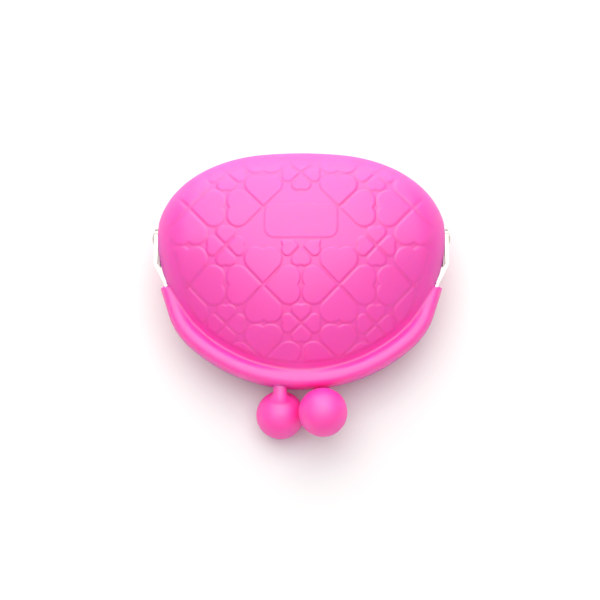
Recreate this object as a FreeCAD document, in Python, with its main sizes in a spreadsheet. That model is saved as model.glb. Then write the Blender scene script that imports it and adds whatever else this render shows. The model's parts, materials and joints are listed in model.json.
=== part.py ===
import FreeCAD, Part
import math
import os
import Sketcher

# Hinged coin purse: a moulded silicone pouch on a two-piece steel frame, shut by two balls that
# cross. Sizes are in millimetres and degrees.
#
# Every piece is drawn in the purse's own frame: X across, the hinge axis along X through the
# origin, the mouth toward -Y, the base toward +Y, the mouth plane at Z = 0 and the front above
# it. At the end the whole purse is laid on its back, resting on its back wall and on one ball.
# The back half is the front half turned half a turn about Y.

SIZES = (
    # Pouch
    ("pouch_width", 94.2),
    ("pouch_depth", 39.0),
    ("base_reach", 27.9),
    ("mouth_reach", 49.3),
    ("base_flat_width", 29.0),
    ("base_flat_depth", 10.6),
    ("wall", 2.0),
    ("side_fullness", 0.78),
    ("mouth_edge_share", 0.8),
    ("rest_flat", 0.85),
    # Stretch of the front wall that bends when the mouth opens
    ("fold_front", 10.0),
    ("fold_back", 16.0),
    ("fold_gap", 0.3),
    # Rim round the mouth
    ("rim_width", 7.2),
    ("rim_height", 5.4),
    ("groove_height", 4.0),
    ("rim_overlap", 0.8),
    ("sleeve_start", 16.5),
    ("sleeve_wall", 1.6),
    ("crown_share", 0.576),
    ("crown_half_angle", 42.0),
    ("shoulder_share", 0.248),
    # Steel frame
    ("arm_proud", 0.7),
    ("arm_kink", 5.0),
    ("strip_thickness", 1.2),
    ("strip_width", 2.6),
    ("strip_lift", 1.2),
    ("ear_radius", 3.3),
    ("ear_length", 9.0),
    ("link_start", 15.4),
    # Hinge rivets
    ("rivet_diameter", 2.4),
    ("rivet_head_diameter", 5.0),
    ("rivet_head_height", 0.9),
    ("rivet_tail_diameter", 3.4),
    ("rivet_tail_height", 0.7),
    # Ball clasp
    ("ball_diameter", 15.8),
    ("core_diameter", 10.8),
    ("kiss_angle", 32.9),
    ("post_diameter", 1.8),
    ("post_straight", 0.3),
    ("post_bend_radius", 3.5),
    ("neck_diameter", 3.9),
    # Clearances
    ("slot_gap", 0.1),
    ("ear_gap", 0.15),
    ("ear_face_gap", 0.05),
    ("rivet_gap", 0.05),
    ("window_gap", 0.5),
    ("ball_gap", 0.2),
    ("kiss_gap", 0.4),
    ("core_gap", 0.05),
    ("neck_gap", 0.1),
)

# Values that follow from the sizes, each worked out once.
WORKED = (
    # Outline of the rim: a crown arc, two shoulder arcs and two straight arms to the hinge, all
    # in proportion to the width of the pouch
    ("crown_radius", "size.pouch_width * size.crown_share"),
    ("shoulder_radius", "size.pouch_width * size.shoulder_share"),
    ("arm_face", "size.pouch_width / 2 + size.arm_proud"),
    ("crown_y", "crown_radius - size.mouth_reach"),
    ("shoulder_x", "(crown_radius - shoulder_radius) * sin(size.crown_half_angle)"),
    ("shoulder_y",
     "crown_y - (crown_radius - shoulder_radius) * cos(size.crown_half_angle)"),
    ("kink_x", "arm_face + size.sleeve_wall - shoulder_x"),
    ("kink_y", "-size.arm_kink - shoulder_y"),
    ("arm_lean",
     "acos(shoulder_radius / sqrt(kink_x ^ 2 + kink_y ^ 2)) - atan2(kink_y; kink_x)"),
    ("arm_reach",
     "shoulder_radius + shoulder_x * cos(arm_lean) - shoulder_y * sin(arm_lean)"),
    ("groove_reach", "size.mouth_reach - size.rim_width + size.rim_overlap"),
    # Steel frame: the back half nests inside the front half
    ("front_inset", "size.sleeve_wall + size.strip_thickness / 2"),
    ("back_inset", "front_inset + size.strip_thickness + size.ear_gap"),
    ("strip_mid", "size.strip_lift + size.strip_width / 2"),
    ("strip_top", "size.strip_lift + size.strip_width"),
    ("window_top", "strip_top + size.window_gap"),
    ("window_round", "size.ear_radius + size.window_gap"),
    # Ball clasp
    ("clasp_x", "(size.ball_diameter + size.kiss_gap) / 2 * cos(size.kiss_angle)"),
    ("clasp_z", "(size.ball_diameter + size.kiss_gap) / 2 * sin(size.kiss_angle)"),
    ("ball_y", "-(size.mouth_reach + size.ball_gap + size.ball_diameter / 2)"),
    ("bend_y", "-(size.mouth_reach + size.post_straight)"),
    ("bend_z", "strip_mid - size.post_bend_radius"),
    ("bend_to_ball", "sqrt((bend_y - ball_y) ^ 2 + (bend_z + clasp_z) ^ 2)"),
    ("post_turn",
     "atan2(bend_z + clasp_z; bend_y - ball_y) + asin(size.post_bend_radius / bend_to_ball)"),
)

doc = FreeCAD.newDocument("coin_purse")
size = doc.addObject("Spreadsheet::Sheet", "size")
for row, (alias, number) in enumerate(SIZES, start=1):
    size.set(f"A{row}", alias)
    size.set(f"B{row}", str(number))
    size.setAlias(f"B{row}", alias)
doc.recompute()
worked = doc.addObject("Spreadsheet::Sheet", "worked")
for row, (alias, formula) in enumerate(WORKED, start=1):
    worked.set(f"A{row}", alias)
    worked.set(f"B{row}", "=" + formula)
    worked.setAlias(f"B{row}", alias)
    doc.recompute()

WORKED_FRONT = "worked.front_inset"
WORKED_BACK = "worked.back_inset"
INNER = "-"
OUTER = "+"
MOUTH_PLANE = "XY_Plane"
ACROSS_PLANE = "XZ_Plane"
SIDE_PLANE = "YZ_Plane"
UP = FreeCAD.Vector(0, 0, 1)


def value(expression):
    """The number that an expression on the sheets comes to."""
    result = size.evalExpression(expression)
    return float(getattr(result, "Value", result))


def point(x, y):
    return FreeCAD.Vector(x, y, 0)


def arc(x, y, radius, start, end):
    return Part.ArcOfCircle(Part.Circle(point(x, y), UP, radius), start, end)


def new_body(name):
    return doc.addObject("PartDesign::Body", name)


def plane(body, role):
    return next(f for f in body.Origin.OriginFeatures if f.Role == role)


def new_sketch(body, name, role, offset="0"):
    """A sketch on one of the body's own planes, moved along the plane's normal."""
    sketch = body.newObject("Sketcher::SketchObject", name)
    sketch.AttachmentSupport = (plane(body, role), [""])
    sketch.MapMode = "FlatFace"
    sketch.setExpression("AttachmentOffset.Base.z", offset)
    return sketch


def bind(sketch, name, expression, kind, *where):
    """A named dimension of a sketch that follows an expression."""
    index = sketch.addConstraint(Sketcher.Constraint(kind, *where, value(expression)))
    sketch.renameConstraint(index, name)
    sketch.setExpression("Constraints." + name, expression)


def tie(sketch, *rows):
    """Constraints without a size. In a sketch, -1 is the origin and X axis, -2 the Y axis."""
    for row in rows:
        sketch.addConstraint(Sketcher.Constraint(*row))


def place_point(sketch, name, geometry, end, x, y):
    bind(sketch, name + "_across", x, "DistanceX", -1, 1, geometry, end)
    bind(sketch, name + "_along", y, "DistanceY", -1, 1, geometry, end)


def polygon(sketch, corners, domed=()):
    """A closed outline through corners given as expressions. Its sides are straight, but a
    domed side is an arc that ends on the sketch's X axis and has its centre there."""
    spots = [point(value(x), value(y)) for x, y in corners]
    count = len(spots)
    for i, near in enumerate(spots):
        far = spots[(i + 1) % count]
        if i in domed:
            centre = (far.x ** 2 + far.y ** 2 - near.x ** 2 - near.y ** 2) / (2 * (far.x - near.x))
            start = math.atan2(near.y, near.x - centre)
            sketch.addGeometry(arc(centre, 0, far.x - centre, 0, start), False)
            tie(sketch, ("PointOnObject", i, 3, -1))
        else:
            sketch.addGeometry(Part.LineSegment(near, far), False)
    for i in range(count):
        after = (i + 1) % count
        tie(sketch, ("Coincident", i, 1 if i in domed else 2, after, 2 if after in domed else 1))
    for i, (x, y) in enumerate(corners):
        place_point(sketch, f"corner_{i}", i, 2 if i in domed else 1, x, y)


def circle(sketch, x, y, radius):
    spot = point(value(x), value(y))
    sketch.addGeometry(Part.Circle(spot, UP, value(radius)), False)
    bind(sketch, "radius", radius, "Radius", 0)
    place_point(sketch, "centre", 0, 3, x, y)


def pad(body, name, sketch, length, symmetric=False):
    feature = body.newObject("PartDesign::Pad", name)
    feature.Profile = sketch
    feature.Type = "Length"
    feature.setExpression("Length", length)
    feature.SideType = "Symmetric" if symmetric else "One side"
    return feature


def pocket_through(body, name, sketch, symmetric, reverse=False):
    feature = body.newObject("PartDesign::Pocket", name)
    feature.Profile = sketch
    feature.Type = "ThroughAll"
    feature.SideType = "Symmetric" if symmetric else "One side"
    feature.Reversed = reverse
    return feature


def pipe(body, kind, name, profile, spine):
    feature = body.newObject("PartDesign::" + kind, name)
    feature.Profile = profile
    feature.Spine = (spine, [f"Edge{i + 1}" for i in range(spine.GeometryCount)])
    return feature


def arm_x(inset, y):
    """Where the straight arm of the rim, moved inward by inset, crosses a height y."""
    return (f"((worked.arm_reach - {inset} + ({y}) * sin(worked.arm_lean))"
            f" / cos(worked.arm_lean))")


def ear_x(inset, side):
    """The inner (-) or outer (+) face of a hinge ear."""
    return f"{arm_x(inset, '-size.arm_kink')} {side} size.strip_thickness / 2"


def strip_y(inset, side, across="worked.clasp_x"):
    """Where a face of the strip lies at the clasp: its inner (-) or outer (+) face."""
    return (f"(worked.crown_y - sqrt((worked.crown_radius - {inset} {side}"
            f" size.strip_thickness / 2) ^ 2 - ({across}) ^ 2))")


def arch_path(body, name, inset, start):
    """The rim's outline moved inward by inset, from one arm round the mouth to the other."""
    sketch = new_sketch(body, name, MOUTH_PLANE)
    begin = arm_x(inset, f"-{start}")
    lean = math.radians(value("worked.arm_lean"))
    turn = math.radians(value("size.crown_half_angle")) - math.pi / 2
    crown = value(f"worked.crown_radius - {inset}")
    shoulder = value(f"worked.shoulder_radius - {inset}")
    x = value("worked.shoulder_x")
    y = value("worked.shoulder_y")
    first = point(value(begin), -value(start))
    joint = point(x + shoulder * math.cos(lean), y - shoulder * math.sin(lean))
    mirror_first = point(-first.x, first.y)
    mirror_joint = point(-joint.x, joint.y)
    sketch.addGeometry(Part.LineSegment(first, joint), False)
    sketch.addGeometry(arc(x, y, shoulder, turn, -lean), False)
    crown_y = value("worked.crown_y")
    sketch.addGeometry(arc(0, crown_y, crown, -math.pi - turn, turn), False)
    sketch.addGeometry(arc(-x, y, shoulder, -math.pi + lean, -math.pi - turn), False)
    sketch.addGeometry(Part.LineSegment(mirror_joint, mirror_first), False)
    tie(
        sketch,
        ("Tangent", 0, 2, 1, 2),
        ("Tangent", 1, 1, 2, 2),
        ("Tangent", 2, 1, 3, 2),
        ("Tangent", 3, 1, 4, 1),
        ("PointOnObject", 2, 3, -2),
        ("Equal", 1, 3),
        ("Symmetric", 0, 1, 4, 2, -2),
    )
    bind(sketch, "crown", f"worked.crown_radius - {inset}", "Radius", 2)
    bind(sketch, "shoulder", f"worked.shoulder_radius - {inset}", "Radius", 1)
    bind(sketch, "crown_height", "worked.crown_y", "DistanceY", -1, 1, 2, 3)
    bind(sketch, "shoulder_across", "worked.shoulder_x", "DistanceX", -1, 1, 1, 3)
    place_point(sketch, "start", 0, 1, begin, f"-{start}")
    return sketch


def arm_profile(body, name, inset, start):
    """An empty sketch square to the arm, with its origin where the arch path begins."""
    sketch = new_sketch(body, name, ACROSS_PLANE, start)
    turned = FreeCAD.Rotation(FreeCAD.Vector(0, -1, 0), value("worked.arm_lean"))
    sketch.AttachmentOffset = FreeCAD.Placement(FreeCAD.Vector(0, 0, value(start)), turned)
    sketch.setExpression("AttachmentOffset.Base.x", arm_x(inset, f"-{start}"))
    sketch.setExpression("AttachmentOffset.Base.z", start)
    sketch.setExpression("AttachmentOffset.Rotation.Angle", "worked.arm_lean")
    return sketch


def strip_profile(body, name, inset, start, gap):
    """The steel strip's section, grown by gap on every side."""
    sketch = arm_profile(body, name, inset, start)
    side = f"(size.strip_thickness / 2 + {gap})"
    low = f"(size.strip_lift - {gap})"
    high = f"(worked.strip_top + {gap})"
    polygon(sketch, ((f"-{side}", low), (side, low), (side, high), (f"-{side}", high)))
    return sketch


def wall_section(body, name, along, half_width, rise, side_radius):
    """A flat-based three-centred arch across the pouch, at a distance along Y."""
    sketch = new_sketch(body, name, ACROSS_PLANE, f"-({along})")
    w = value(half_width)
    top = value(rise)
    r = value(side_radius)
    crown = (w * w + top * top - 2 * w * r) / (2 * (top - r))
    turn = math.atan2(crown - top, w - r)
    sketch.addGeometry(Part.LineSegment(point(-w, 0), point(w, 0)), False)
    sketch.addGeometry(arc(w - r, 0, r, 0, turn), False)
    sketch.addGeometry(arc(0, top - crown, crown, turn, math.pi - turn), False)
    sketch.addGeometry(arc(r - w, 0, r, math.pi - turn, math.pi), False)
    sketch.addGeometry(Part.Point(point(0, top)), True)
    tie(
        sketch,
        ("Coincident", 0, 2, 1, 1),
        ("Tangent", 1, 2, 2, 1),
        ("Tangent", 2, 2, 3, 1),
        ("Coincident", 3, 2, 0, 1),
        ("PointOnObject", 0, 1, -1),
        ("PointOnObject", 0, 2, -1),
        ("PointOnObject", 1, 3, -1),
        ("PointOnObject", 3, 3, -1),
        ("PointOnObject", 2, 3, -2),
        ("PointOnObject", 4, 1, 2),
        ("PointOnObject", 4, 1, -2),
        ("Equal", 1, 3),
    )
    bind(sketch, "half_width", half_width, "DistanceX", -1, 1, 0, 2)
    bind(sketch, "rise", rise, "DistanceY", -1, 1, 4, 1)
    bind(sketch, "side_radius", side_radius, "Radius", 1)
    return sketch


def wall_loft(body, kind, name, inward):
    """Half of the pouch, from its flat base to the groove inside the rim, moved in by inward."""
    sections = []
    for degrees in (90, 70, 50, 25, 0):
        swing = f"sin({degrees})"
        left = f"cos({degrees})"
        rise = (f"(size.base_flat_depth / 2 - {inward}"
                f" + (size.pouch_depth - size.base_flat_depth) / 2 * {left})")
        half = (f"(size.base_flat_width / 2 - {inward}"
                f" + (size.pouch_width - size.base_flat_width) / 2 * {left})")
        sections.append(wall_section(body, f"{name}_base_{degrees}",
                                     f"(size.base_reach - {inward}) * {swing}",
                                     half, rise, f"size.side_fullness * {rise}"))
    for degrees in (18, 36, 54, 68, 80):
        swing = f"sin({degrees})"
        left = f"cos({degrees})"
        rise = (f"(size.groove_height - {inward}"
                f" + (size.pouch_depth / 2 - size.groove_height) * {left} ^ 2)")
        edge = f"(size.mouth_edge_share * (size.groove_height - {inward}))"
        sections.append(wall_section(body, f"{name}_mouth_{degrees}",
                                     f"-(worked.groove_reach - {inward}) * {swing}",
                                     f"(size.pouch_width / 2 - {inward}) * {left}",
                                     rise, f"({edge} + (size.side_fullness * {rise} - {edge})"
                                           f" * {left} ^ 6)"))
    loft = body.newObject("PartDesign::" + kind, name)
    loft.Profile = sections[0]
    loft.Sections = sections[1:]
    loft.Ruled = False
    return loft


def pouch_half(name, inset):
    """One wall of the pouch with its rim, slot for the frame, hinge window and neck hole."""
    body = new_body(name)
    wall_loft(body, "AdditiveLoft", f"{name}_outside", "0")
    doc.recompute()

    start = "size.sleeve_start"
    middle = "size.rim_width / 2"
    path = arch_path(body, f"{name}_rim_path", middle, start)
    section = arm_profile(body, f"{name}_rim_section", middle, start)
    half = value("size.rim_width / 2")
    spring = value("size.rim_height - size.rim_width / 2")
    section.addGeometry(Part.LineSegment(point(-half, 0), point(half, 0)), False)
    section.addGeometry(Part.LineSegment(point(half, 0), point(half, spring)), False)
    section.addGeometry(arc(0, spring, half, 0, math.pi), False)
    section.addGeometry(Part.LineSegment(point(-half, spring), point(-half, 0)), False)
    tie(
        section,
        ("Coincident", 0, 2, 1, 1),
        ("Tangent", 1, 2, 2, 1),
        ("Tangent", 2, 2, 3, 1),
        ("Coincident", 3, 2, 0, 1),
        ("PointOnObject", 0, 1, -1),
        ("PointOnObject", 0, 2, -1),
        ("PointOnObject", 2, 3, -2),
        ("Vertical", 1),
        ("Vertical", 3),
    )
    bind(section, "radius", middle, "Radius", 2)
    bind(section, "spring", f"size.rim_height - {middle}", "DistanceY", -1, 1, 2, 3)
    doc.recompute()
    pipe(body, "AdditivePipe", f"{name}_rim", section, path)
    doc.recompute()

    wall_loft(body, "SubtractiveLoft", f"{name}_inside", "size.wall")
    doc.recompute()

    slot_path = arch_path(body, f"{name}_slot_path", inset, "size.link_start")
    slot_section = strip_profile(body, f"{name}_slot_section", inset, "size.link_start",
                                 "size.slot_gap")
    doc.recompute()
    pipe(body, "SubtractivePipe", f"{name}_slot", slot_section, slot_path)
    doc.recompute()

    window = new_sketch(body, f"{name}_window_shape", SIDE_PLANE)
    polygon(window, (("-size.sleeve_start", "-worked.window_top"),
                     ("worked.window_round", "-worked.window_top"),
                     ("worked.window_round", "worked.window_top"),
                     ("-size.sleeve_start", "worked.window_top")))
    pocket_through(body, f"{name}_window", window, symmetric=True)
    doc.recompute()

    neck = new_sketch(body, f"{name}_neck_shape", ACROSS_PLANE, f"-({strip_y(inset, INNER)})")
    circle(neck, "-worked.clasp_x", "worked.strip_mid", "size.neck_diameter / 2 + size.neck_gap")
    doc.recompute()
    before = body.Shape.Volume
    pocket_through(body, f"{name}_neck_hole", neck, symmetric=False, reverse=True)
    doc.recompute()
    if body.Shape.Volume >= before:
        raise RuntimeError(f"{name}: the neck hole cuts nothing")
    return body


def frame_half(name, inset, rivet_hole):
    """A steel strip round the mouth. Each end leaves the rim, is set outward by a slanted link and
    runs on as a flat ear for the hinge rivet."""
    body = new_body(name)
    path = arch_path(body, f"{name}_path", inset, "size.link_start")
    section = strip_profile(body, f"{name}_section", inset, "size.link_start", "0")
    doc.recompute()
    pipe(body, "AdditivePipe", f"{name}_strip", section, path)
    doc.recompute()

    link = new_sketch(body, f"{name}_link_shape", MOUTH_PLANE, "size.strip_lift")
    outside = f"({inset} - size.strip_thickness / 2)"
    inside = f"({inset} + size.strip_thickness / 2)"
    bend = "-size.link_start"
    lap = "-(size.link_start + size.strip_thickness)"
    polygon(link, ((ear_x(inset, INNER), "-size.ear_length"),
                   (ear_x(inset, OUTER), "-size.ear_length"),
                   (arm_x(outside, bend), bend), (arm_x(outside, lap), lap),
                   (arm_x(inside, lap), lap), (arm_x(inside, bend), bend)))
    doc.recompute()
    right_link = pad(body, f"{name}_link", link, "size.strip_width")
    doc.recompute()

    ear = new_sketch(body, f"{name}_ear_shape", SIDE_PLANE, ear_x(inset, INNER))
    radius = value("size.ear_radius")
    foot = "-size.ear_length"
    upper = point(value(foot), value("worked.strip_top"))
    lower = point(value(foot), value("size.strip_lift"))
    above = math.atan2(upper.y, upper.x) - math.acos(radius / upper.Length)
    below = math.atan2(lower.y, lower.x) + math.acos(radius / lower.Length)
    top = point(radius * math.cos(above), radius * math.sin(above))
    bottom = point(radius * math.cos(below), radius * math.sin(below))
    ear.addGeometry(Part.LineSegment(upper, top), False)
    ear.addGeometry(arc(0, 0, radius, below - 2 * math.pi, above), False)
    ear.addGeometry(Part.LineSegment(bottom, lower), False)
    ear.addGeometry(Part.LineSegment(lower, upper), False)
    tie(
        ear,
        ("Tangent", 0, 2, 1, 2),
        ("Tangent", 1, 1, 2, 1),
        ("Coincident", 2, 2, 3, 1),
        ("Coincident", 3, 2, 0, 1),
        ("Coincident", 1, 3, -1, 1),
    )
    bind(ear, "radius", "size.ear_radius", "Radius", 1)
    place_point(ear, "upper", 0, 1, foot, "worked.strip_top")
    place_point(ear, "lower", 3, 1, foot, "size.strip_lift")
    doc.recompute()
    right_ear = pad(body, f"{name}_ear", ear, "size.strip_thickness")
    doc.recompute()
    both = body.newObject("PartDesign::Mirrored", f"{name}_ends")
    both.Originals = [right_link, right_ear]
    both.MirrorPlane = (plane(body, SIDE_PLANE), [""])
    body.Tip = both
    doc.recompute()

    hinge = new_sketch(body, f"{name}_hinge_shape", SIDE_PLANE)
    circle(hinge, "0", "0", rivet_hole)
    pocket_through(body, f"{name}_hinge_hole", hinge, symmetric=True)
    doc.recompute()
    post = new_sketch(body, f"{name}_post_shape", ACROSS_PLANE)
    circle(post, "-worked.clasp_x", "worked.strip_mid", "size.post_diameter / 2")
    pocket_through(body, f"{name}_post_hole", post, symmetric=True)
    doc.recompute()
    return body


def hinge_rivet(name):
    """A turned rivet with a domed head outside the ears and an upset tail inside them."""
    body = new_body(name)
    seat = f"({ear_x(WORKED_BACK, '-')})"
    face = f"({ear_x(WORKED_FRONT, '+')} + size.ear_face_gap)"
    profile = new_sketch(body, f"{name}_profile", MOUTH_PLANE)
    polygon(profile, (
        (f"({seat} - size.rivet_tail_height)", "0"),
        (f"({seat} - size.rivet_tail_height)", "size.rivet_tail_diameter / 2"),
        (seat, "size.rivet_tail_diameter / 2"),
        (seat, "size.rivet_diameter / 2"),
        (face, "size.rivet_diameter / 2"),
        (face, "size.rivet_head_diameter / 2"),
        (f"({face} + size.rivet_head_height)", "0"),
    ), domed=(5,))
    doc.recompute()
    turned = body.newObject("PartDesign::Revolution", f"{name}_turned")
    turned.Profile = profile
    turned.ReferenceAxis = (profile, ["H_Axis"])
    turned.Angle = 360
    doc.recompute()
    return body


def along_post(body, kind, name, begin, radius):
    """A round bar along the bent line of a clasp post, from begin to the middle of the ball."""
    path = new_sketch(body, f"{name}_path", SIDE_PLANE, "-worked.clasp_x")
    bend = value("size.post_bend_radius")
    turn = math.radians(value("worked.post_turn"))
    centre = point(value("worked.bend_y"), value("worked.bend_z"))
    start = point(value(begin), value("worked.strip_mid"))
    middle = point(value("worked.ball_y"), -value("worked.clasp_z"))
    leave = point(centre.x - bend * math.sin(turn), centre.y + bend * math.cos(turn))
    path.addGeometry(Part.LineSegment(start, point(centre.x, start.y)), False)
    path.addGeometry(arc(centre.x, centre.y, bend, math.pi / 2, math.pi / 2 + turn), False)
    path.addGeometry(Part.LineSegment(leave, middle), False)
    tie(path, ("Tangent", 0, 2, 1, 1), ("Tangent", 1, 2, 2, 1))
    bind(path, "bend", "size.post_bend_radius", "Radius", 1)
    place_point(path, "begin", 0, 1, begin, "worked.strip_mid")
    place_point(path, "centre", 1, 3, "worked.bend_y", "worked.bend_z")
    place_point(path, "middle", 2, 2, "worked.ball_y", "-worked.clasp_z")
    section = new_sketch(body, f"{name}_section", ACROSS_PLANE, f"-({begin})")
    circle(section, "-worked.clasp_x", "worked.strip_mid", radius)
    doc.recompute()
    bar = pipe(body, kind, name, section, path)
    doc.recompute()
    return bar


def ball(body, kind, name, radius):
    """A sphere about the middle of the front ball."""
    sphere = body.newObject("PartDesign::" + kind, name)
    sphere.setExpression("Radius", radius)
    sphere.AttachmentSupport = (plane(body, MOUTH_PLANE), [""])
    sphere.MapMode = "FlatFace"
    sphere.setExpression("AttachmentOffset.Base.x", "-worked.clasp_x")
    sphere.setExpression("AttachmentOffset.Base.y", "worked.ball_y")
    sphere.setExpression("AttachmentOffset.Base.z", "-worked.clasp_z")
    doc.recompute()
    return sphere


def clasp_post(name, inset):
    body = new_body(name)
    along_post(body, "AdditivePipe", f"{name}_bar", strip_y(inset, INNER),
               "size.post_diameter / 2")
    return body


def ball_core(name, inset):
    body = new_body(name)
    ball(body, "AdditiveSphere", f"{name}_ball", "size.core_diameter / 2")
    along_post(body, "SubtractivePipe", f"{name}_bore", strip_y(inset, INNER),
               "size.post_diameter / 2 + size.core_gap")
    return body


def ball_cover(name, inset):
    """A hollow silicone ball whose neck runs down the post to the steel strip."""
    body = new_body(name)
    ball(body, "AdditiveSphere", f"{name}_ball", "size.ball_diameter / 2")
    foot = strip_y(inset, OUTER, "worked.clasp_x - size.neck_diameter / 2")
    along_post(body, "AdditivePipe", f"{name}_neck", f"{foot} - size.slot_gap",
               "size.neck_diameter / 2")
    ball(body, "SubtractiveSphere", f"{name}_hollow", "size.core_diameter / 2 + size.core_gap")
    along_post(body, "SubtractivePipe", f"{name}_bore", strip_y(inset, INNER),
               "size.post_diameter / 2 + size.core_gap")
    return body


def slab(name, near, far):
    """A block over the front half, between two distances along Y."""
    block = doc.addObject("Part::Box", name)
    block.setExpression("Length", "2 * size.pouch_width")
    block.setExpression("Width", f"({far}) - ({near})")
    block.setExpression("Height", "2 * size.pouch_depth")
    block.setExpression("Placement.Base.x", "-size.pouch_width")
    block.setExpression("Placement.Base.y", near)
    return block


def shared(name, whole, block):
    common = doc.addObject("Part::Common", name)
    common.Base = whole
    common.Tool = block
    return common


def resting_pose():
    """How the closed purse lies: its back wall, flattened a little, and the lower ball touch
    the table. Returns the turn about X and the height of the hinge above the table."""
    depth = value("size.pouch_depth / 2")
    bulge = depth - value("size.groove_height")
    reach = value("worked.groove_reach")

    def wall_low(turn):
        y = -reach * reach * math.tan(turn) / (2 * bulge)
        rise = depth - bulge * (y / reach) ** 2
        return rise * math.cos(turn) - y * math.sin(turn) - value("size.rest_flat")

    def ball_low(turn):
        return (value("size.ball_diameter / 2") + value("worked.clasp_z") * math.cos(turn)
                - value("worked.ball_y") * math.sin(turn))

    low, high = math.radians(-30), math.radians(30)
    for _ in range(60):
        turn = (low + high) / 2
        if wall_low(turn) > ball_low(turn):
            low = turn
        else:
            high = turn
    return turn, ball_low(turn)


turn, height = resting_pose()
laid = FreeCAD.Placement(FreeCAD.Vector(0, 0, height),
                         FreeCAD.Rotation(FreeCAD.Vector(1, 0, 0), math.degrees(turn)))
half_turn = FreeCAD.Placement(FreeCAD.Vector(), FreeCAD.Rotation(FreeCAD.Vector(0, 1, 0), 180))
swapped = FreeCAD.Placement(FreeCAD.Vector(), FreeCAD.Rotation(UP, 180))
pieces = []


def keep(piece, label, placement):
    piece.Label = label
    piece.Placement = placement
    pieces.append(piece)


# Pouch: the front half is cut across the fold, and its base end is one with the back half.
front_half = pouch_half("front_half", WORKED_FRONT)
back_half = pouch_half("back_half", WORKED_BACK)
back_half.Placement = half_turn
keep(shared("front_wall", front_half,
            slab("mouth_slab", "-2 * size.mouth_reach", "-(size.fold_front + size.fold_gap)")),
     "pouch_front", laid)
keep(shared("fold_wall", front_half,
            slab("fold_slab", "-size.fold_front", "size.fold_back")),
     "pouch_fold", laid)
base = shared("base_wall", front_half, slab("base_slab", "size.fold_back", "2 * size.base_reach"))
whole_back = doc.addObject("Part::Fuse", "whole_back")
whole_back.Base = back_half
whole_back.Tool = base
whole_back.Refine = True
table = doc.addObject("Part::Box", "table")
table.setExpression("Length", "2 * size.pouch_width")
table.setExpression("Width", "4 * size.mouth_reach")
table.setExpression("Height", "size.pouch_depth")
corner = FreeCAD.Vector(-value("size.pouch_width"), -value("2 * size.mouth_reach"),
                        -value("size.pouch_depth"))
table.Placement = laid.inverse().multiply(FreeCAD.Placement(corner, FreeCAD.Rotation()))
rested = doc.addObject("Part::Cut", "rested_back")
rested.Base = whole_back
rested.Tool = table
keep(rested, "pouch_back", laid)

# Steel frame, hinge rivets and ball clasp. The rivets are tight in the back ears and turn in
# the front ears.
keep(frame_half("front_strip", WORKED_FRONT, "size.rivet_diameter / 2 + size.rivet_gap"),
     "front_frame", laid)
keep(frame_half("back_strip", WORKED_BACK, "size.rivet_diameter / 2"),
     "back_frame", laid.multiply(half_turn))
keep(hinge_rivet("right_rivet"), "hinge_rivet_right", laid)
keep(hinge_rivet("left_rivet"), "hinge_rivet_left", laid.multiply(swapped))
for side, inset, placement in (("front", WORKED_FRONT, laid),
                               ("back", WORKED_BACK, laid.multiply(half_turn))):
    keep(clasp_post(f"{side}_post", inset), f"{side}_clasp_post", placement)
    keep(ball_core(f"{side}_core", inset), f"{side}_ball_core", placement)
    keep(ball_cover(f"{side}_cover", inset), f"{side}_ball_cover", placement)

doc.recompute()
for thing in doc.Objects:
    if "Invalid" in thing.State or "Error" in thing.State:
        raise RuntimeError(f"{thing.Name} failed: {thing.State}")
for piece in pieces:
    shape = piece.Shape
    if shape.isNull() or not shape.isValid() or len(shape.Solids) != 1:
        raise RuntimeError(f"{piece.Label} is not one valid solid")
os.makedirs("parts", exist_ok=True)
for piece in pieces:
    piece.Shape.exportStep(f"parts/{piece.Label}.step")
    print(piece.Label, round(piece.Shape.Volume, 1))
print("turn", round(math.degrees(turn), 3), "hinge height", round(height, 4))
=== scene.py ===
import bmesh
import bpy
import json
import math
import numpy as np
from mathutils import Matrix, Vector


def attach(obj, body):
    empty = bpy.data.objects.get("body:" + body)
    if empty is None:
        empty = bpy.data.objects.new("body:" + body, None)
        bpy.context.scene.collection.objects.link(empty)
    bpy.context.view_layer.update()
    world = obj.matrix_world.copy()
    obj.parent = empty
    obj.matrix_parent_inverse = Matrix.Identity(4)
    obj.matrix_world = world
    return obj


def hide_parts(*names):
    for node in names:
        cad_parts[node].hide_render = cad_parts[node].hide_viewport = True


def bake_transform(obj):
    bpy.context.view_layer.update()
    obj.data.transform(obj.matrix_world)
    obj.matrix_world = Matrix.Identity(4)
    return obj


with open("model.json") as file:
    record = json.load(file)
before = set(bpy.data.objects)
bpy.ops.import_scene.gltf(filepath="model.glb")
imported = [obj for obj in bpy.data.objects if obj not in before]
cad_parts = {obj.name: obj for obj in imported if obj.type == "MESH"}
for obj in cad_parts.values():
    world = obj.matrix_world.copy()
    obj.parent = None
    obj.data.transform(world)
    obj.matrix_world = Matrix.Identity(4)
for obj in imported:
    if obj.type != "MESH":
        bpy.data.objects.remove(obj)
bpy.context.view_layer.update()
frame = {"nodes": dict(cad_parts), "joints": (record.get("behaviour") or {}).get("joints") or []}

# Pouch: one moulding of soft silicone. Two bowl-shaped walls about 2 mm thick are one piece at the
# base and part at the mouth, where each has a thick rim that takes half of the steel frame. Both
# are drawn in millimetres with the hinge along X and the mouth toward -Y, then laid on the back.
rest_lean = math.radians(6.653)
hinge_spot = Vector(frame["joints"][0]["pos_m"])
laid = (Matrix.Translation(hinge_spot) @ Matrix.Rotation(rest_lean, 4, "X")
        @ Matrix.Scale(0.001, 4))
half_width, half_depth, base_reach, wall, middle_y = 47.1, 19.5, 27.9, 2.0, -10.4
round_bow, round_square, side_full, lip_full, side_fade = 2.5, 0.4, 0.78, 0.8, 3
mouth_reach, groove_reach, groove_height, lip_wall, foot_bend = 49.3, 44.6, 4.0, 3.7, 2.4
# groove_shade is the height over which the painted shade in the rim's groove fades out.
groove_round, groove_shade = 0.25, 0.9
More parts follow.
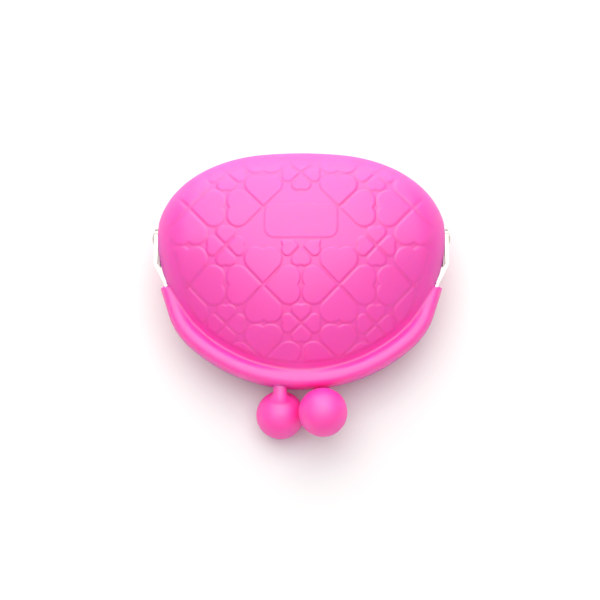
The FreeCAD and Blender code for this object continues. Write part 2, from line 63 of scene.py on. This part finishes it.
rim_height, rim_crest, rim_flat, rim_width, rim_fall, side_fall = 5.4, 2.6, 3.2, 5.4, 0.4, 0.9

# Outline of the rim: a crown arc at the clasp, two shoulder arcs, and two straight arms that lead
# to the hinge. Short of the hinge the rim stops, and the wall has a window for the steel ears.
crown_share, shoulder_share, crown_turn = 0.576, 0.248, math.radians(42)
crown, shoulder = crown_share * 2 * half_width, shoulder_share * 2 * half_width
arm_kink_x, arm_kink_y = 49.4, -5.0
crown_y = crown - mouth_reach
shoulder_x = (crown - shoulder) * math.sin(crown_turn)
shoulder_y = crown_y - (crown - shoulder) * math.cos(crown_turn)
arm_foot = (arm_kink_x - shoulder_x, arm_kink_y - shoulder_y)
arm_lean = math.acos(shoulder / math.hypot(*arm_foot)) - math.atan2(arm_foot[1], arm_foot[0])
arm_reach = shoulder + shoulder_x * math.cos(arm_lean) - shoulder_y * math.sin(arm_lean)
sleeve_start, sleeve_lead, sleeve_slope, sleeve_sunk = -16.5, 0.7, 1.2, 3
window_height, window_base = 4.3, 3.8
base_end, base_slope, rim_end, rim_slope = 0.5, 0.9, 0.1, 0.8
step_before, step_after, step_inside, edge_limit = 0.9, 0.1, 0.2, 0.97
tiny = 1e-6


def ease(share):
    """A share from 0 to 1, eased at both ends."""
    share = np.clip(share, 0, 1)
    return share * share * (3 - 2 * share)


def soften(low, high, reach):
    """The higher of two heights, with the crease between them filled to a soft curve."""
    return np.maximum(low, high) + np.maximum(reach - np.abs(low - high), 0) ** 2 / (4 * reach)


def wall_foot(inward):
    """Reach of a wall's foot at the groove, where the wall is thicker than elsewhere."""
    return groove_reach - inward * lip_wall / wall


def wall_arch(y, inward):
    """Half width, rise and side radius of a wall's arch across the pouch at y. Inward is how far
    in from the outside the surface lies."""
    base = np.clip(y / (base_reach - inward), 0, 1)
    run = np.clip(-y / wall_foot(inward), 0, 1)
    left = 1 - run ** 2
    lip = groove_height - inward
    width = (half_width - inward) * np.where(y > 0, (1 - base ** 2) ** round_square, np.sqrt(left))
    rise = np.where(y > 0, (half_depth - inward) * (1 - base ** round_bow) ** round_square,
                    lip + (half_depth - groove_height) * (1 - run ** foot_bend))
    full, at_lip = side_full * rise, lip_full * lip
    side = np.where(y > 0, full, at_lip + (full - at_lip) * left ** side_fade)
    return width, rise, side


def wall_rise(x, y, inward):
    """Height of a wall above the mouth plane."""
    width, rise, side = wall_arch(y, inward)
    x = np.abs(x)
    top = (width ** 2 + rise ** 2 - 2 * width * side) / (2 * np.maximum(rise - side, tiny))
    meet = top * (width - side) / np.maximum(top - side, tiny)
    over = rise - top + np.sqrt(np.maximum(top ** 2 - x ** 2, 0))
    down = np.sqrt(np.maximum(side ** 2 - (x - width + side) ** 2, 0))
    return np.where(x > width, width - x, np.where(x < meet, over, down))


def rim_depth(x, y):
    """Distance inward from the rim's outer edge."""
    x = np.abs(x)
    by_crown = crown - np.hypot(x, y - crown_y)
    by_shoulder = shoulder - np.hypot(x - shoulder_x, y - shoulder_y)
    by_arm = arm_reach - x * math.cos(arm_lean) + y * math.sin(arm_lean)
    past = (x - shoulder_x) * math.sin(arm_lean) + (y - shoulder_y) * math.cos(arm_lean) > 0
    return np.where(np.arctan2(x, crown_y - y) < crown_turn, by_crown,
                    np.where(past, by_arm, by_shoulder))


def rim_rise(x, y):
    """Height of the rim: a full round outside, a flat crest, and a rounded fall to the groove."""
    depth = rim_depth(x, y)
    rounded = 1 - (1 - np.clip(depth / rim_crest, 0, 1)) ** round_bow
    outside = rim_height * rounded ** round_square
    fall = rim_fall + side_fall * ease(np.abs(x) / shoulder_x)
    inside = rim_height - fall * (np.maximum(depth - rim_flat, 0) / (rim_width - rim_flat)) ** 2
    sleeve = ease((sleeve_start + sleeve_lead - y) / sleeve_slope)
    return np.where(depth < rim_crest, outside, inside) * sleeve - sleeve_sunk * (1 - sleeve)


def edge_height(y):
    """Height of a wall's lower edge: the mouth plane, or the top of the hinge window."""
    return (window_height * ease((window_base + base_end - y) / base_slope)
            * ease((y - sleeve_start + rim_end) / rim_slope))


def edge_line(inward, rim):
    """A wall's edge round from the base to the mouth: turn from +Y, reach and height."""
    base_count, side_count, arm_count, turn_count, bow_count, foot_count = 160, 90, 30, 60, 80, 120
    y = np.concatenate([(base_reach - inward) * np.cos(np.linspace(0, math.pi / 2, base_count)),
                        np.linspace(0, sleeve_start + step_before, side_count)[1:]])
    width, _, side = wall_arch(y, inward)
    height = edge_height(y)
    drop = np.minimum(height, edge_limit * side)
    x = width - side + np.sqrt(np.maximum(side ** 2 - drop ** 2, 0))
    if rim:
        arm_end = shoulder_y - shoulder * math.sin(arm_lean)
        arm_y = np.linspace(sleeve_start - step_after, arm_end, arm_count)
        turn = np.linspace(arm_lean, math.pi / 2 - crown_turn, turn_count)
        bow = np.linspace(crown_turn, 0, bow_count)
        more_x = np.concatenate([(arm_reach + arm_y * math.sin(arm_lean)) / math.cos(arm_lean),
                                 shoulder_x + shoulder * np.cos(turn), crown * np.sin(bow)])
        more_y = np.concatenate([arm_y, shoulder_y - shoulder * np.sin(turn),
                                 crown_y - crown * np.cos(bow)])
    else:
        foot = wall_foot(inward)
        begin = math.asin((step_inside - sleeve_start) / foot)
        more_y = -foot * np.sin(np.linspace(begin, math.pi / 2, foot_count))
        more_x = wall_arch(more_y, inward)[0]
    height = np.concatenate([height, np.zeros(len(more_x))])
    x, y = np.concatenate([x, more_x]), np.concatenate([y, more_y])
    return np.arctan2(x, y - middle_y), np.hypot(x, y - middle_y), height


# Relief of both walls: four-heart clovers on a square lattice, large and small in turn, raised
# less than half a millimetre as flat pads with thin grooves between. The front has a bare plaque.
# A clover is given by its heart's size, the start of its tips, their bluntness and its spread.
lattice, lattice_x, lattice_y, lattice_bow, bow_width = 23.72, -0.13, 5.49, 1.15, 36
large_heart, small_heart = (9.37, 0.97, 0.4, 1.0), (4.2, 1.1, 0.45, 1.06)
plaque_half, plaque_y, plaque_round, plaque_gap = (11.6, 5.5), 1.6, 3.2, 0.6
heart_height, plaque_height, relief_edge, painted_shade_width, rim_gap = 0.3, 0.17, 0.5, 0.6, 7.9
relief_start, relief_fade, relief_pitch, bare, far_off, profile_count = 2, 6, 0.971, 1.0, 9.0, 400
profile_y = np.linspace(-groove_reach, base_reach, profile_count)
profile_z = wall_rise(0 * profile_y, profile_y, 0)
profile_run = np.concatenate([[0], np.cumsum(np.hypot(np.diff(profile_y), np.diff(profile_z)))])
profile_run = relief_pitch * (profile_run - np.interp(0, profile_y, profile_run))


def heart(along, across):
    """Distance outside a heart of unit size whose tip is at 0, less than 0 inside it: straight
    flanks at the tip, and a round lobe on each."""
    lobe_across, lobe_along, lobe_radius = 0.25, 0.75, math.sqrt(2) / 4
    across = np.abs(across)
    both = np.maximum(along + across, 0) / 2
    lobe = np.hypot(across - lobe_across, along - lobe_along) - lobe_radius
    flank = np.minimum(np.hypot(across, along - 1), np.hypot(across - both, along - both))
    return np.where(along + across > 1, lobe, flank * np.sign(across - along))


def clover(dx, dy, size, start, blunt, spread):
    """Distance outside four hearts round a centre, with blunt tips that stop short of it."""
    along, across = np.maximum(abs(dx), abs(dy)), np.minimum(abs(dx), abs(dy))
    return size * heart((along - start) / size, across / (size * spread)) - blunt


def fold(distance):
    """Distance from the nearest line of the lattice."""
    return distance - lattice * np.round(distance / lattice)


def pad(shape):
    """Share of a pad's height at a distance outside its outline: a short round edge, then flat."""
    return 1 - (1 - np.clip(-shape / relief_edge, 0, 1)) ** 2


def line(shape):
    """Share of the painted shade along a pad's outline."""
    return ease(1 - np.abs(shape) / painted_shade_width)


def relief(x, y, edge, plaque):
    """How far the moulded pattern stands out at a place, and how much painted shade it gets along
    the pads' outlines.
    Edge is how far in from the wall's edge it lies."""
    across = x - lattice_x
    up = np.interp(y, profile_y, profile_run) - lattice_bow * (x / bow_width) ** 2 - lattice_y
    dx, dy = fold(across - lattice / 2), fold(up)
    sx, sy = fold(across), fold(up - lattice / 2)
    large, small, plate = clover(dx, dy, *large_heart), clover(sx, sy, *small_heart), far_off
    if plaque:
        beside = (abs(up) < lattice / 2) & (abs(across) < lattice)
        facing = (abs(dx) > abs(dy)) & (abs(across) < lattice / 2)
        large = np.where(beside & (facing | (dy < -abs(dx))), bare, large)
        under = (abs(across) < lattice / 2) & (abs(up + lattice / 2) < lattice / 3)
        small = np.where(under & (sy > abs(sx)), bare, small)
        over_x = abs(across) - plaque_half[0] + plaque_round
        over_y = abs(up + lattice_y - plaque_y) - plaque_half[1] + plaque_round
        plate = (np.hypot(np.maximum(over_x, 0), np.maximum(over_y, 0))
                 + np.minimum(np.maximum(over_x, over_y), 0) - plaque_round)
        large, small = np.maximum(large, plaque_gap - plate), np.maximum(small, plaque_gap - plate)
    hearts = np.maximum(np.minimum(large, small), rim_gap - rim_depth(x, y))
    fade = ease((edge - relief_start) / relief_fade)
    stand = np.maximum(heart_height * pad(hearts), plaque_height * pad(plate))
    painted_shade = np.maximum(line(hearts), line(plate) * plaque_height / heart_height)
    return stand * fade, painted_shade * fade


def ring_grid(around, rows):
    """A grid to be wrapped round the purse, with the turn and the row of each of its vertices."""
    form = bmesh.new()
    bmesh.ops.create_grid(form, x_segments=around, y_segments=rows - 1, size=1)
    spots = np.array([v.co for v in form.verts])
    return form, math.pi * spots[:, 0], np.rint((spots[:, 1] + 1) / 2 * (rows - 1)).astype(int)


def wrap(name, form, spots, painted_shades, material):
    """Moves a ring grid to its places in millimetres, lays it down, presses it flat on the table
    and joins its seam and poles. An attribute holds the share of painted shade at each place."""
    painted_shade = form.verts.layers.float.new("painted_shade")
    for v, spot, share in zip(form.verts, spots, painted_shades):
        v.co = laid @ Vector(spot)
        v.co.z = max(v.co.z, 0)
        v[painted_shade] = share
    bmesh.ops.remove_doubles(form, verts=form.verts, dist=1e-7)
    bmesh.ops.recalc_face_normals(form, faces=form.faces)
    return new_piece(name, form, material)


def new_piece(name, form, material):
    """A smooth object in the scene from a finished form."""
    mesh = bpy.data.meshes.new(name)
    form.to_mesh(mesh)
    form.free()
    mesh.shade_smooth()
    mesh.materials.append(material)
    piece = bpy.data.objects.new(name, mesh)
    bpy.context.scene.collection.objects.link(piece)
    return piece


def pouch_wall(name, side, plaque, material):
    """Rings moved one by one onto a wall: out over the wall and its rim, in under the edge and
    back along the inside. Side is 1 for the front and -1 for the back."""
    outer_span, outer_even, outer_rings = 47, 8.85, 128
    inner_span, inner_even, inner_rings = 45, 4, 14
    around_count, even_count, calm_count, calm_until, calm_over = 590, 1441, 97, 0.8, 0.2
    outer_close = np.array([0, 0.05, 0.2, 0.45, 0.8, 1.25, 1.8, 2.4, 3, 3.6, 4.2, 4.8, 5.4, 6, 6.6,
                            7.2, 7.8, 8.4])
    inner_close = np.array([0, 0.1, 0.4, 0.9, 1.6, 2.6])
    outer = np.concatenate([np.linspace(0, 1 - outer_even / outer_span, outer_rings),
                            1 - outer_close[::-1] / outer_span])
    inner = np.concatenate([1 - inner_close / inner_span,
                            np.linspace(0, 1 - inner_even / inner_span, inner_rings)[::-1]])
    rings = np.concatenate([outer, inner])
    form, around, row = ring_grid(around_count, len(rings))
    turn, share, outside = np.abs(around), rings[row], row < len(outer)
    even = np.linspace(0, math.pi, even_count)
    x, y, z, painted_shades = np.zeros((4, len(row)))
    for layer, inward, rim in ((outside, 0.0, True), (~outside, wall, False)):
        line_turn, line_reach, line_height = edge_line(inward, rim)
        reach = np.interp(even, line_turn, line_reach)
        window = np.hanning(calm_count) / np.hanning(calm_count).sum()
        smooth = np.convolve(np.pad(reach, calm_count // 2, "reflect"), window, "valid")
        t, s = turn[layer], share[layer]
        calm = np.interp(t, even, smooth)
        sharp = np.interp(t, line_turn, line_reach)
        reach = calm + (sharp - calm) * ease((s - calm_until) / calm_over)
        x[layer] = s * reach * np.sin(around[layer])
        y[layer] = middle_y + s * reach * np.cos(t)
        rise = wall_rise(x[layer], y[layer], inward)
        if rim:
            bead = rim_rise(x[layer], y[layer])
            stand, painted_shade = relief(x[layer], y[layer], (1 - s) * reach, plaque)
            # Painted shade along the pads' outlines and in the groove where the wall meets the rim.
            painted_shades[layer] = np.maximum(painted_shade, ease(1 - np.abs(rise - bead) / groove_shade))
            rise = soften(rise, bead, groove_round) + stand
        level = np.interp(t, line_turn, line_height)
        z[layer] = np.where(s > 1 - tiny, level, np.maximum(rise, level))
    return wrap(name, form, np.column_stack([side * x, y, side * z]), painted_shades.tolist(), material)


def linear(hex_colour):
    """sRGB hex to the linear colour that shaders take."""
    parts = [int(hex_colour[i:i + 2], 16) / 255 for i in (0, 2, 4)]
    return [c / 12.92 if c <= 0.04045 else ((c + 0.055) / 1.055) ** 2.4 for c in parts] + [1]


def add(material, kind, settings=None, links=None):
    """A node with its links and settings: sockets by name or number, properties by attribute."""
    node = material.node_tree.nodes.new(kind)
    for key, value in (settings or {}).items():
        if isinstance(key, int) or key in node.inputs:
            node.inputs[key].default_value = value
        else:
            setattr(node, key, value)
    for key, source in (links or {}).items():
        material.node_tree.links.new(source, node.inputs[key])
    return node


def new_material(name):
    """A material whose nodes are still to be added."""
    material = bpy.data.materials.new(name)
    material.use_nodes = True
    material.node_tree.nodes.clear()
    return material


# Silicone, pigmented through and moulded in a bead-blasted tool: a matt, even, saturated pink with
# a broad soft sheen, broken up by a grain that is drawn at 0.25 mm, coarser than the real one. Light
# goes some millimetres in, red the furthest. Shade is painted into the colour as a deeper pink along
# the pads' outlines, in the rim's groove and on the ball necks under the rim.
cloud_size, grain_size, painted_shade_strength = 0.012, 0.00025, 0.22
silicone = new_material("moulded_silicone")
spot = add(silicone, "ShaderNodeTexCoord").outputs["Object"]
cloud = add(silicone, "ShaderNodeTexNoise", {"Scale": 1 / cloud_size, "Detail": 2.0},
            {"Vector": spot})
tint = add(silicone, "ShaderNodeMix",
           {"data_type": "RGBA", 6: linear("fc28ac"), 7: linear("fd2eb2")},
           {"Factor": cloud.outputs["Fac"]})
painted_shade = add(silicone, "ShaderNodeAttribute", {"attribute_name": "painted_shade"})
shade = add(silicone, "ShaderNodeMath", {"operation": "MULTIPLY", 1: painted_shade_strength},
            {0: painted_shade.outputs["Fac"]})
# Painted shade: the attribute mixes in a deeper pink where the shade is painted.
pigment_and_shade = add(silicone, "ShaderNodeMix", {"data_type": "RGBA", 7: linear("c80c80")},
              {"Factor": shade.outputs[0], 6: tint.outputs[2]})
grain = add(silicone, "ShaderNodeTexNoise", {"Scale": 1 / grain_size, "Detail": 2.0},
            {"Vector": spot})
matt = add(silicone, "ShaderNodeMapRange", {"To Min": 0.46, "To Max": 0.56},
           {"Value": cloud.outputs["Fac"]})
blast = add(silicone, "ShaderNodeBump", {"Strength": 0.12, "Distance": 0.00003},
            {"Height": grain.outputs["Fac"]})
body = add(silicone, "ShaderNodeBsdfPrincipled",
           {"IOR": 1.6, "Specular IOR Level": 1.0, "Subsurface Weight": 0.9,
            "Subsurface Radius": (1.0, 0.1, 0.3), "Subsurface Scale": 0.005},
           {"Base Color": pigment_and_shade.outputs[2], "Roughness": matt.outputs[0],
            "Normal": blast.outputs["Normal"]})
add(silicone, "ShaderNodeOutputMaterial", None, {"Surface": body.outputs["BSDF"]})

# The back wall is held by the back half of the frame. The front wall is held by neither half and
# stays where it is drawn, with its transform baked into the mesh.
back = pouch_wall("pouch_back_wall", -1, False, silicone)
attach(back, "back")
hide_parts("pouch_back")
front = pouch_wall("pouch_front_wall", 1, True, silicone)
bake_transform(front)
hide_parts("pouch_front", "pouch_fold")

# Frame halves, hinge rivets, clasp posts and ball cores: spring steel strip and turned pins, nickel
# plated and polished. They are bright with faint rolling lines, drawn 0.2 mm apart, coarser than the
# real ones, so that they show. The shapes are those of the model itself.
line_width, line_length = 0.0002, 0.004
nickel = new_material("nickel_plated_steel")
spot = add(nickel, "ShaderNodeTexCoord").outputs["Object"]
rolled = add(nickel, "ShaderNodeMapping",
             {"Scale": (1 / line_width, 1 / line_length, 1 / line_width)}, {"Vector": spot})
lines = add(nickel, "ShaderNodeTexNoise", {"Scale": 1.0, "Detail": 2.0},
            {"Vector": rolled.outputs["Vector"]})
worn = add(nickel, "ShaderNodeMapRange", {"To Min": 0.08, "To Max": 0.18},
           {"Value": lines.outputs["Fac"]})
drawn = add(nickel, "ShaderNodeBump", {"Strength": 0.1, "Distance": 0.00002},
            {"Height": lines.outputs["Fac"]})
plate = add(nickel, "ShaderNodeBsdfPrincipled",
            {"Base Color": linear("b6b0aa"), "Metallic": 1.0},
            {"Roughness": worn.outputs[0], "Normal": drawn.outputs["Normal"]})
add(nickel, "ShaderNodeOutputMaterial", None, {"Surface": plate.outputs["BSDF"]})
for name in ("front_frame", "back_frame", "hinge_rivet_left", "hinge_rivet_right",
             "front_clasp_post", "back_clasp_post", "front_ball_core", "back_ball_core"):
    frame["nodes"][name].data.materials.clear()
    frame["nodes"][name].data.materials.append(nickel)

# Ball covers: hollow silicone balls, pushed over hard cores on the bent posts. The balls cross and
# snap past each other. A short neck flares into each ball, flattens toward the rim and ends in it,
# with painted shade where the rim shadows it: a deeper pink toward the root.
ball_radius, ball_x, ball_y, ball_z = 7.75, 6.801, -57.1, -4.5
post_z, bend_radius, bend_y = 1.9, 3.5, -49.6
neck_radius, neck_fillet, neck_flat, neck_sunk = 2.2, 3.5, 0.73, 2.4
# Strength of the painted shade on the neck, and how early it starts along the fillet.
neck_shade, shade_lead = 1.2, 0.6


def ball_cover(name, side):
    """Rings drawn out from the far side of the ball, over it and along the bent neck."""
    ball_rings, fillet_rings, neck_rings, ball_around = 60, 16, 10, 72
    bend_z = post_z - bend_radius
    far = math.hypot(bend_y - ball_y, bend_z - ball_z)
    turn = math.atan2(bend_z - ball_z, bend_y - ball_y) + math.asin(bend_radius / far)
    straight = math.sqrt(far ** 2 - bend_radius ** 2)
    neck_end = straight + bend_radius * turn
    wide, reach = neck_radius + neck_fillet, ball_radius + neck_fillet
    fillet_end = math.sqrt(reach ** 2 - wide ** 2)
    rings = []
    for angle in np.linspace(0, math.pi - math.asin(wide / reach), ball_rings).tolist():
        rings.append((-ball_radius * math.cos(angle), ball_radius * math.sin(angle)))
    for angle in np.linspace(math.asin(fillet_end / reach), 0, fillet_rings)[1:].tolist():
        rings.append((fillet_end - neck_fillet * math.sin(angle),
                      wide - neck_fillet * math.cos(angle)))
    for run in np.linspace(fillet_end, neck_end + neck_sunk, neck_rings)[1:].tolist():
        rings.append((run, neck_radius))
    rings.append((neck_end + neck_sunk, 0))
    form, around, row = ring_grid(ball_around, len(rings))
    spots, shades = [], []
    for angle, (run, radius) in zip(around.tolist(), (rings[i] for i in row)):
        lean = turn - min(max(run - straight, 0) / bend_radius, turn)
        if run < straight:
            y, z = ball_y + run * math.cos(turn), ball_z + run * math.sin(turn)
        else:
            y = bend_y - bend_radius * math.sin(lean) + max(run - neck_end, 0)
            z = bend_z + bend_radius * math.cos(lean)
        flat = 1 - (1 - neck_flat) * float(ease((run - ball_radius) / (neck_end - ball_radius)))
        up = radius * flat * math.cos(angle)
        # Painted shade on the neck under the rim, rising from the fillet toward the root.
        shades.append(neck_shade * float(ease((run - fillet_end) / neck_fillet + shade_lead)))
        spots.append((side * (radius * math.sin(angle) - ball_x), y - up * math.sin(lean),
                      side * (z + up * math.cos(lean))))
    return wrap(name, form, spots, shades, silicone)


for name, side in (("front", 1), ("back", -1)):
    cover = ball_cover(f"{name}_clasp_ball", side)
    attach(cover, name)
    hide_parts(f"{name}_ball_cover")

# Stage: a wide sheet of matt white paper in a studio that is bright overhead and dim low down, with
# one broad softbox above and two beyond the purse that lighten its far half. The plain view
# transform shows the pigment as strong as it is.
floor_reach, fibre_size = 5.0, 0.002
form = bmesh.new()
bmesh.ops.create_grid(form, x_segments=1, y_segments=1, size=floor_reach)
paper = new_material("matt_paper")
fibre = add(paper, "ShaderNodeTexNoise", {"Scale": 1 / fibre_size, "Detail": 3.0},
            {"Vector": add(paper, "ShaderNodeTexCoord").outputs["Object"]})
weave = add(paper, "ShaderNodeMapRange", {"To Min": 0.8, "To Max": 0.9},
            {"Value": fibre.outputs["Fac"]})
sheet = add(paper, "ShaderNodeBsdfPrincipled",
            {"Base Color": linear("e4e4e4"), "Specular IOR Level": 0.2},
            {"Roughness": weave.outputs[0]})
add(paper, "ShaderNodeOutputMaterial", None, {"Surface": sheet.outputs["BSDF"]})
new_piece("floor", form, paper)


def soft_light(name, spot, size, power, colour):
    """A rectangular softbox at a place in metres, turned to the purse."""
    lamp = bpy.data.lights.new(name, "AREA")
    lamp.color = linear(colour)[:3]
    lamp.shape = "RECTANGLE"
    lamp.size, lamp.size_y = size
    lamp.energy = power
    light = bpy.data.objects.new(name, lamp)
    light.location = spot
    light.rotation_euler = (-Vector(spot)).to_track_quat("-Z", "Y").to_euler()
    bpy.context.scene.collection.objects.link(light)


soft_light("overhead_softbox", (-0.03, 0.08, 0.9), (1.0, 0.8), 5.0, "ffffff")
soft_light("far_softbox", (-0.06, 0.6, 0.8), (1.2, 0.6), 3.2, "fff8ea")
soft_light("low_softbox", (-0.06, 0.85, 0.3), (1.4, 0.4), 6.2, "fff8ea")
world = bpy.data.worlds.new("studio")
world.use_nodes = True
world.node_tree.nodes.clear()
sight = add(world, "ShaderNodeSeparateXYZ", None,
            {"Vector": add(world, "ShaderNodeTexCoord").outputs["Generated"]})
glow = add(world, "ShaderNodeMapRange", {"From Max": 0.6, "To Min": 0.1, "To Max": 0.78},
           {"Value": sight.outputs["Z"]})
studio = add(world, "ShaderNodeBackground", {"Color": linear("ffffff")},
             {"Strength": glow.outputs[0]})
add(world, "ShaderNodeOutputWorld", None, {"Surface": studio.outputs["Background"]})
bpy.context.scene.world = world
bpy.context.scene.view_settings.view_transform = "Standard"

# Camera: above the clasp end and looking down on the purse, as a hand-held close shot would. The
# lens follows from how many pixels of the 600-pixel picture a millimetre takes at that distance.
sensor, pixels_per_mm, distance, picture, tilt = 36, 3.0748, 450, 600, math.radians(73)
aim = Vector((-0.00046, -0.0196, 0.015))
camera = bpy.data.cameras.new("camera")
camera.sensor_width = sensor
camera.lens = sensor * pixels_per_mm * distance / picture
viewer = bpy.data.objects.new("camera", camera)
viewer.location = aim + distance / 1000 * Vector((0, -math.cos(tilt), math.sin(tilt)))
viewer.rotation_euler = (math.pi / 2 - tilt, 0, 0)
bpy.context.scene.collection.objects.link(viewer)
bpy.context.scene.camera = viewer
